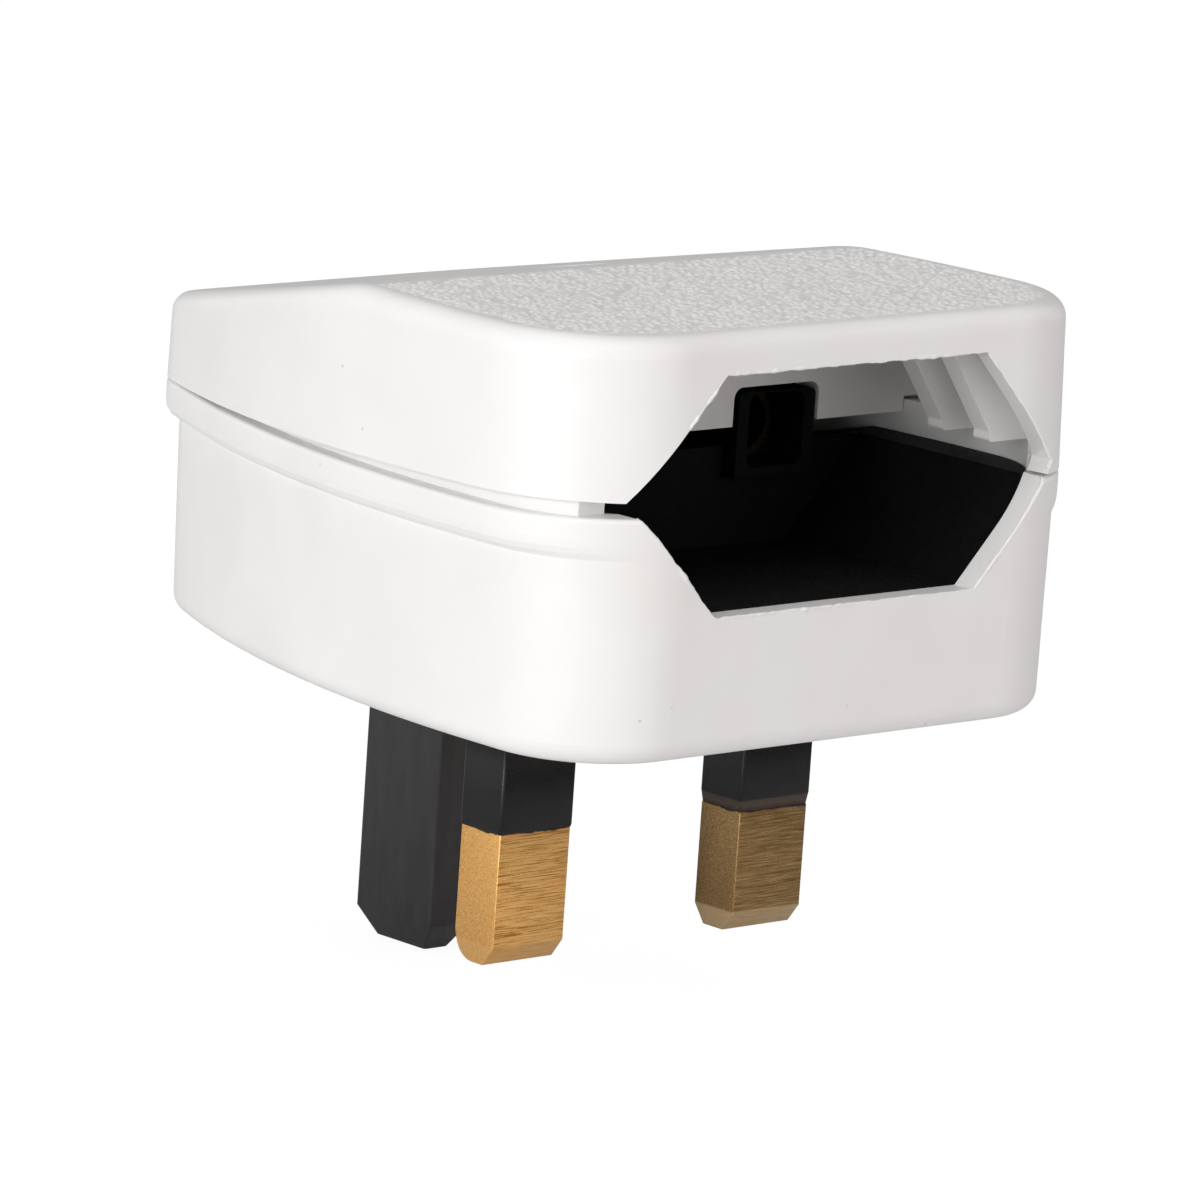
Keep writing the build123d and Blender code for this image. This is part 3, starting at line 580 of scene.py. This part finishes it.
class PlugColours(bpy.types.PropertyGroup):
    """Colours of the plug's finishes."""

    housing: bpy.props.FloatVectorProperty(
        name="Housing", description="White of the mouldings",
        default=linear("#F2F1F0"), size=4, subtype="COLOR",
    )
    housing_warm: bpy.props.FloatVectorProperty(
        name="Housing, warm", description="Warmer patches",
        default=linear("#EFEDEB"), size=4, subtype="COLOR",
    )
    black: bpy.props.FloatVectorProperty(
        name="Black", description="Black of the tray and carrier",
        default=linear("#060606"), size=4, subtype="COLOR",
    )
    sleeve: bpy.props.FloatVectorProperty(
        name="Sleeve", description="Black of the pin sleeves",
        default=linear("#0D0C0D"), size=4, subtype="COLOR",
    )
    brass: bpy.props.FloatVectorProperty(
        name="Brass", description="Brass of the pins",
        default=linear("#F0B76C"), size=4, subtype="COLOR",
    )


class PLUG_OT_stage(bpy.types.Operator):
    """Sets the camera, the lamps, the world, the floor and the cards"""

    bl_idname = "plug.stage"
    bl_label = "Stage"

    def place_camera(self, context):
        """A camera at the photograph's view, turned by its roll."""
        azimuth, elevation, roll = radians(VIEW_AZIMUTH), radians(VIEW_ELEVATION), radians(VIEW_ROLL)
        back = Vector((sin(azimuth) * cos(elevation), -cos(azimuth) * cos(elevation), sin(elevation)))
        level = (-back).cross(Vector((0, 0, 1))).normalized()
        upright = level.cross(-back)
        right = cos(roll) * level + sin(roll) * upright
        up = -sin(roll) * level + cos(roll) * upright
        deselect_all()
        bpy.ops.object.camera_add()
        camera = context.object
        camera.name = "camera"
        turn = Matrix((right, up, back)).transposed().to_4x4()
        camera.matrix_world = Matrix.Translation(VIEW_TARGET + back * VIEW_DISTANCE) @ turn
        camera.data.lens = VIEW_LENS
        camera.data.sensor_width = 36.0
        camera.data.shift_x, camera.data.shift_y = VIEW_SHIFT
        camera.data.clip_start = 0.01
        context.scene.camera = camera

    def place_lamps(self, context):
        """Three soft lamps that point at the plug: name, place, size, power and colour of each."""
        lamps = [
            ("key_left", (-0.95, -0.22, 0.1), 0.7, 8.7, (1.0, 1.0, 1.0)),
            ("front_fill", (0.35, -1.0, 0.3), 0.7, 1.9, (1.0, 0.9, 0.9)),
            ("top_soft", (-0.1, -0.3, 1.0), 0.8, 2.6, (1.0, 1.0, 1.0)),
        ]
        for name, place, size, power, colour in lamps:
            deselect_all()
            bpy.ops.object.light_add(type="AREA", location=place)
            lamp = context.object
            lamp.name = name
            lamp.data.size = size
            lamp.data.energy = power
            lamp.data.color = colour
            lamp.rotation_euler = (VIEW_TARGET - Vector(place)).to_track_quat("-Z", "Y").to_euler()

    def light_room(self, context):
        """A room that lights the plug dimly and looks white, both straight on and in reflections."""
        world = bpy.data.worlds.new("studio")
        context.scene.world = world
        world.use_nodes = True
        tree = world.node_tree
        tree.nodes.clear()
        path = add_node(tree, "ShaderNodeLightPath")
        seen = add_node(
            tree, "ShaderNodeMath", {"operation": "ADD", "use_clamp": True},
            {0: path.outputs["Is Camera Ray"], 1: path.outputs["Is Glossy Ray"]},
        )
        seen = add_node(
            tree, "ShaderNodeMath", {"operation": "ADD", "use_clamp": True},
            {0: seen.outputs["Value"], 1: path.outputs["Is Transmission Ray"]},
        )
        strength = add_node(
            tree, "ShaderNodeMapRange", {"To Min": 0.34, "To Max": 1.0}, {"Value": seen.outputs["Value"]}
        )
        sky = add_node(
            tree, "ShaderNodeBackground", {"Color": (1, 1, 1, 1)}, {"Strength": strength.outputs["Result"]}
        )
        add_node(tree, "ShaderNodeOutputWorld", {}, {"Surface": sky.outputs["Background"]})

    def lay_floor(self, context):
        """White paper just under the pins."""
        gap = 0.2 * MM
        deselect_all()
        bpy.ops.mesh.primitive_plane_add(size=6.0, location=(0, 0, cad_box[0][2] - gap))
        floor = context.object
        floor.name = "floor"
        paper, tree = bare_material("white_paper")
        # Paper so bright to the camera that it blends into the background, and a fifth of it takes the shadow
        sheet = add_node(tree, "ShaderNodeBsdfDiffuse", {"Color": linear("#F2F2F2")})
        glow = add_node(tree, "ShaderNodeEmission", {"Color": (1, 1, 1, 1), "Strength": 1.15})
        path = add_node(tree, "ShaderNodeLightPath")
        share = add_node(
            tree, "ShaderNodeMath", {"operation": "MULTIPLY", 1: 0.8}, {0: path.outputs["Is Camera Ray"]}
        )
        mix = add_node(
            tree, "ShaderNodeMixShader", {},
            {0: share.outputs["Value"], 1: sheet.outputs["BSDF"], 2: glow.outputs["Emission"]},
        )
        add_node(tree, "ShaderNodeOutputMaterial", {}, {"Surface": mix.outputs["Shader"]})
        floor.data.materials.append(paper)

    def place_cards(self, context):
        """Grey cards that only reflections see, at the front right and behind, as a photographer's flags."""
        for name, place, size, light in (
            ("front_card", (0.42, -0.45, -0.08), 1.0, 0.12),
            ("rear_card", (0.45, 0.48, 0.12), 0.8, 0.22),
        ):
            deselect_all()
            bpy.ops.mesh.primitive_plane_add(size=size, location=place)
            card = context.object
            card.name = name
            card.rotation_euler = (VIEW_TARGET - Vector(place)).to_track_quat("Z", "Y").to_euler()
            card.visible_camera = False
            card.visible_diffuse = False
            card.visible_shadow = False
            card.visible_transmission = False
            # Grey card: it takes the glare off the black pins and the side, and lights nothing
            grey, tree = bare_material(f"grey_{name}")
            glow = add_node(tree, "ShaderNodeEmission", {"Color": (1, 1, 1, 1), "Strength": light})
            add_node(tree, "ShaderNodeOutputMaterial", {}, {"Surface": glow.outputs["Emission"]})
            card.data.materials.append(grey)

    def execute(self, context):
        self.place_camera(context)
        self.place_lamps(context)
        self.light_room(context)
        self.lay_floor(context)
        self.place_cards(context)
        context.scene.view_settings.view_transform = "Standard"
        return {"FINISHED"}


class PLUG_OT_mouldings(bpy.types.Operator):
    """Gives the white mouldings their skin"""

    bl_idname = "plug.mouldings"
    bl_label = "White mouldings"

    def execute(self, context):
        colours = context.scene.plug_colours
        # ABS from a polished tool: clean, softly shining white that shows broad, blurred lights
        shell = moulded_abs(
            "white_moulded_abs", colours.housing, colours.housing_warm, linear("#A79E96"), 0.36, 0.006
        )
        dress(["base_housing", "lid"], shell)
        # ABS of an inner part: a little duller and yellower than the case beside it
        drawer = moulded_abs(
            "white_drawer_abs", linear("#ECEAE7"), linear("#E6E2DD"), linear("#A79E96"), 0.42, 0.008
        )
        dress(["fuse_drawer"], drawer)
        return {"FINISHED"}


class PLUG_OT_top_grain(bpy.types.Operator):
    """Lays the pebbled grain over the lid's top, down to a smooth border"""

    bl_idname = "plug.top_grain"
    bl_label = "Top grain"

    def execute(self, context):
        sizes = context.scene.plug_sizes
        # The sheet as laid above the lid, and how deep its closed border goes into the roof
        width, depth, above = 50 * MM, (CREASE_Y - FRONT_Y) * MM, 40 * MM
        middle = (FRONT_Y + CREASE_Y) / 2 * MM
        skirt = 0.2 * MM
        step = sizes.grain_step
        # In millimetres: the sheet's overhang past the grain, and the ways over which the grain, and its dust
        # and painted shade, grow
        overhang, grain_way, dust_and_shade_way = 0.4, 1.2, 1.5
        deselect_all()
        bpy.ops.mesh.primitive_grid_add(
            x_subdivisions=round(width / step), y_subdivisions=round(depth / step), size=1.0,
            location=(0, middle, above),
        )
        grain = context.object
        grain.scale = (width, depth, 1.0)
        bpy.ops.object.transform_apply(location=True, rotation=True, scale=True)
        border = sizes.grain_border / MM

        def inside(vertex):
            return plateau_margin(vertex.co.x / MM, vertex.co.y / MM) - border

        margins = [inside(vertex) for vertex in grain.data.vertices]
        pick(grain)
        bpy.ops.object.mode_set(mode="EDIT")
        leave_unselected("VERT")
        for vertex, margin in zip(grain.data.vertices, margins):
            vertex.select = margin < -overhang
        bpy.ops.object.mode_set(mode="EDIT")
        bpy.ops.mesh.delete(type="VERT")
        bpy.ops.object.mode_set(mode="OBJECT")
        apply_modifier(
            grain, "SHRINKWRAP",
            {
                "target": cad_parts["lid"], "wrap_method": "PROJECT", "use_project_z": True,
                "use_negative_direction": True, "use_positive_direction": False,
            },
        )
        field = grain.vertex_groups.new(name="field")
        for vertex in grain.data.vertices:
            share = min(1.0, max(0.0, (inside(vertex) + overhang) / grain_way))
            field.add([vertex.index], share * share * (3 - 2 * share), "REPLACE")
        pebble = bpy.data.textures.new("pebble", "VORONOI")
        pebble.noise_scale = sizes.grain_cell
        pebble.noise_intensity = 1.0
        crumb = bpy.data.textures.new("crumb", "CLOUDS")
        crumb.noise_scale = sizes.grain_cell * 0.6
        crumb.noise_depth = 2
        # Each cell's middle stands up as a pebble, and the gaps between them reach down to the roof
        height = sizes.grain_height
        roof = [vertex.co.z for vertex in grain.data.vertices]
        for texture, strength, level in ((pebble, -1.25 * height, 0.82), (crumb, 0.4 * height, 0.5)):
            apply_modifier(
                grain, "DISPLACE",
                {
                    "texture": texture, "texture_coords": "LOCAL", "direction": "Z", "strength": strength,
                    "mid_level": level, "vertex_group": "field",
                },
            )
        # Dust and painted shade are thickest down at the roof, and there is none from about half the grain's
        # height up
        hollow = grain.data.attributes.new("hollow", "FLOAT", "POINT")
        dust_and_shade_top = 0.55 * height
        for vertex, level in zip(grain.data.vertices, roof):
            share = min(1.0, max(0.0, inside(vertex) / dust_and_shade_way))
            dust_and_shade = min(1.0, max(0.0, 1.0 - (vertex.co.z - level) / dust_and_shade_top))
            hollow.data[vertex.index].value = share * dust_and_shade
        # All of it sinks a little, so that the smooth border lies just inside the roof
        apply_modifier(grain, "DISPLACE", {"direction": "Z", "strength": -0.03 * MM, "mid_level": 0.0})
        grain.vertex_groups.clear()
        close_underneath(grain, skirt)
        pick(grain)
        bpy.ops.object.shade_smooth()
        colours = context.scene.plug_colours
        # ABS from an etched tool: matt white pebbles with greyer dust and painted shade between them
        skin = moulded_abs(
            "grained_abs", colours.housing, colours.housing_warm, linear("#A5A3A1"), 0.5, 0.045, 0.22
        )
        finish_piece(grain, "lid_top_grain", "lid", skin)
        return {"FINISHED"}


class PLUG_OT_aperture_edges(bpy.types.Operator):
    """Runs an uneven bead of moulding flash along the aperture's outer edges"""

    bl_idname = "plug.aperture_edges"
    bl_label = "Aperture edges"

    def bead(self, context, name, node, corners, body, seed):
        """A thin uneven bead that follows corners, given across and up in millimetres, on a node's front."""
        # In millimetres: points along the bead, how far outside the edge the wall is felt, where the ray
        # starts, the rearmost place that still is the front, and how deep the bead lies in the wall
        spacing, outside, ray_y, rearmost, sunk = 0.3, 0.25, -60, -10, 0.1
        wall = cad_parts[node]
        places = []
        for (x0, z0), (x1, z1) in zip(corners[:-1], corners[1:]):
            count = max(2, round(hypot(x1 - x0, z1 - z0) / spacing))
            places += [(x0 + (x1 - x0) * i / count, z0 + (z1 - z0) * i / count) for i in range(count)]
        places.append(corners[-1])
        line = []
        for x, z in places:
            outward = Vector((x, z - VERTEX_Z)).normalized() * outside
            hit, spot, _, _ = wall.ray_cast(
                Vector(((x + outward.x) * MM, ray_y * MM, (z + outward.y) * MM)), Vector((0, 1, 0))
            )
            if hit and spot.y < rearmost * MM:
                line.append(Vector((x * MM, spot.y + sunk * MM, z * MM)))
        deselect_all()
        bpy.ops.curve.primitive_nurbs_path_add(location=(0, 0, 0))
        path = context.object
        curve = path.data
        curve.splines.clear()
        spline = curve.splines.new("POLY")
        spline.points.add(len(line) - 1)
        for point, place in zip(spline.points, line):
            point.co = (*place, 1.0)
        curve.bevel_depth = context.scene.plug_sizes.bead_radius
        curve.bevel_resolution = 3
        curve.use_fill_caps = True
        bpy.ops.object.convert(target="MESH")
        piece = context.object
        bpy.ops.object.mode_set(mode="EDIT")
        bpy.ops.mesh.select_all(action="SELECT")
        bpy.ops.mesh.remove_doubles(threshold=0.001 * MM)
        bpy.ops.mesh.subdivide(number_cuts=1)
        bpy.ops.mesh.normals_make_consistent(inside=False)
        bpy.ops.object.mode_set(mode="OBJECT")
        # Long swells and short crumbs: width and height of each, in millimetres
        for index, (cell, height) in enumerate(((1.8, 0.22), (0.5, 0.15))):
            flash = bpy.data.textures.new(f"flash_{seed}_{index}", "CLOUDS")
            flash.noise_scale = cell * MM
            flash.noise_depth = 1
            apply_modifier(
                piece, "DISPLACE",
                {"texture": flash, "texture_coords": "LOCAL", "strength": height * MM, "mid_level": 0.5},
            )
        pick(piece)
        bpy.ops.object.shade_smooth()
        finish_piece(piece, name, body, bpy.data.materials["white_moulded_abs"])

    def execute(self, context):
        slope = (APERTURE_VERTEX - APERTURE_FLAT) / (VERTEX_Z - APERTURE_BOTTOM)
        low = APERTURE_VERTEX - slope * (VERTEX_Z - RIM_TOP)
        self.bead(
            context, "base_aperture_flash", "base_housing",
            [
                (-low, RIM_TOP), (-APERTURE_FLAT, APERTURE_BOTTOM),
                (APERTURE_FLAT, APERTURE_BOTTOM), (low, RIM_TOP),
            ],
            "housing", 1,
        )
        # The lid's bead starts just above the left corner and ends just above the rim at the right
        self.bead(
            context, "lid_aperture_flash", "lid",
            [
                (-APERTURE_VERTEX + 0.2, VERTEX_Z + 0.35), (-APERTURE_FLAT, APERTURE_TOP),
                (APERTURE_FLAT, APERTURE_TOP), (APERTURE_VERTEX, VERTEX_Z),
                (APERTURE_VERTEX - 0.5, RIM_TOP + 0.6),
            ],
            "lid", 2,
        )
        return {"FINISHED"}


class PLUG_OT_pins(bpy.types.Operator):
    """Rounds the pins' edges and gives them brushed brass and black plastic"""

    bl_idname = "plug.pins"
    bl_label = "Pins"

    def execute(self, context):
        sizes, colours = context.scene.plug_sizes, context.scene.plug_colours
        # Brushed brass: warm yellow metal whose level scratches break up the lights, with a painted highlight
        # on the blade's narrow sides
        bright = brushed_brass(
            "brushed_brass", linear("#B07A3C"), colours.brass, linear("#F3CC8C"), 0.36, colours.sleeve,
            SLEEVE_END + sizes.sleeve_rise / MM, ("neutral_pin", linear("#F4C684")),
        )
        # Shaded brass: the same metal painted darker and browner, as painted shade on the live pin, with a
        # painted highlight on its narrow sides and paler at its tip
        shaded_blade = brushed_brass(
            "shaded_blade_brass", linear("#725836"), linear("#93754C"), linear("#BE9E70"), 0.4, linear("#211A16"),
            blade=("live_pin", linear("#FFE2B4")),
        )
        softened_copy(
            "neutral_pin", "neutral_blade", sizes.blade_bevel, "housing", bright,
            tip=sizes.tip_round, rise=sizes.sleeve_rise,
        )
        softened_copy("live_pin", "live_blade", sizes.blade_bevel, "housing", shaded_blade)
        # Sleeve nylon: deep black with a satin sheen on its face
        sleeve = black_nylon(
            "black_sleeve_nylon", colours.sleeve, linear("#161415"), 0.34, (0.25, 0.25, 1.0), 0.01, 0.28
        )
        # Worn sleeve nylon: the same black, brown in the thin band at its end
        worn_sleeve = black_nylon(
            "worn_sleeve_nylon", colours.sleeve, linear("#161415"), 0.34, (0.25, 0.25, 1.0), 0.01, 0.28,
            (-8.3, linear("#42352C")),
        )
        cut_sleeve("live_pin_sleeve", "live_sleeve", -8.25, (0.965, 0.945), 0.0, worn_sleeve)
        cut_sleeve("neutral_pin_sleeve", "neutral_sleeve", -8.9, (0.99, 0.985), sizes.sleeve_rise, sleeve)
        # Earth pin nylon: a greyer black that reflects more, with flow lines down the pin
        earth = black_nylon(
            "black_earth_pin_nylon", linear("#1E1C1D"), linear("#2A2829"), 0.36, (1.0, 1.0, 0.2), 0.012, 0.5
        )
        softened_copy("earth_pin", "earth_blade", sizes.blade_bevel, "housing", earth)
        return {"FINISHED"}


class PLUG_OT_inner_parts(bpy.types.Operator):
    """Gives the tray, contacts, fuse and fasteners their finishes"""

    bl_idname = "plug.inner_parts"
    bl_label = "Inner parts"

    def execute(self, context):
        colours = context.scene.plug_colours
        # Tray nylon: matt black that swallows the light inside the well
        tray = black_nylon(
            "black_tray_nylon", colours.black, linear("#0B0A0B"), 0.6, (1.0, 1.0, 1.0), 0.02, 0.1
        )
        dress(["plug_tray", "contact_carrier"], tray)
        # Stamped brass: plain yellow strip metal with a soft shine
        strip = brushed_brass(
            "stamped_brass", linear("#96703A"), linear("#C69E58"), linear("#E2C088"), 0.3
        )
        dress(
            [
                "live_fuse_clip", "load_fuse_clip", "live_link_strip", "neutral_link_strip", "live_pin_rivet",
                "neutral_pin_rivet", "screw_insert",
            ],
            strip,
        )
        # Shaded socket brass: the sockets' brass painted dark brown as painted shade, so that they hardly
        # show in the tower
        shaded_sockets = brushed_brass("shaded_socket_brass", linear("#2A2116"), linear("#43351F"), linear("#5E4A2C"), 0.42)
        dress(["live_socket", "neutral_socket"], shaded_sockets)
        # Zinc plate: cool pale grey metal with a cloudy shine
        zinc = plated_metal("zinc_plated_steel", linear("#C9CACC"), linear("#A3A5A8"), 0.32, 1.0)
        dress(
            ["carrier_screw_left", "carrier_screw_right", "lid_screw", "screw_retaining_washer", "hinge_pin"],
            zinc,
        )
        # Fired ceramic: chalky cream without any metal shine
        ceramic = plated_metal("fired_ceramic", linear("#E6E0D4"), linear("#DAD2C3"), 0.6, 0.0)
        dress(["fuse_tube"], ceramic)
        # Nickel plate: bright, slightly warm metal
        nickel = plated_metal("nickel_plate", linear("#CFCBC4"), linear("#B2ADA5"), 0.24, 1.0)
        dress(["fuse_cap_live", "fuse_cap_load"], nickel)
        return {"FINISHED"}


class PLUG_PT_panel(bpy.types.Panel):
    """Lists the steps that dress the converter plug"""

    bl_idname = "PLUG_PT_panel"
    bl_label = "Converter plug"
    bl_space_type = "VIEW_3D"
    bl_region_type = "UI"
    bl_category = "Converter plug"

    def draw(self, context):
        for operator in OPERATORS:
            self.layout.operator(operator.bl_idname)
        for group in (context.scene.plug_sizes, context.scene.plug_colours):
            for name in group.bl_rna.properties.keys():
                if name not in ("rna_type", "name"):
                    self.layout.prop(group, name)


OPERATORS = (
    PLUG_OT_stage,
    PLUG_OT_mouldings,
    PLUG_OT_top_grain,
    PLUG_OT_aperture_edges,
    PLUG_OT_pins,
    PLUG_OT_inner_parts,
)


def register():
    for item in (PlugSizes, PlugColours, *OPERATORS, PLUG_PT_panel):
        bpy.utils.register_class(item)
    bpy.types.Scene.plug_sizes = bpy.props.PointerProperty(type=PlugSizes)
    bpy.types.Scene.plug_colours = bpy.props.PointerProperty(type=PlugColours)


def unregister():
    del bpy.types.Scene.plug_colours
    del bpy.types.Scene.plug_sizes
    for item in reversed((PlugSizes, PlugColours, *OPERATORS, PLUG_PT_panel)):
        bpy.utils.unregister_class(item)


def main():
    register()
    bpy.ops.plug.stage()
    bpy.ops.plug.mouldings()
    bpy.ops.plug.top_grain()
    bpy.ops.plug.aperture_edges()
    bpy.ops.plug.pins()
    bpy.ops.plug.inner_parts()
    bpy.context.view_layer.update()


if __name__ == "__main__":
    main()
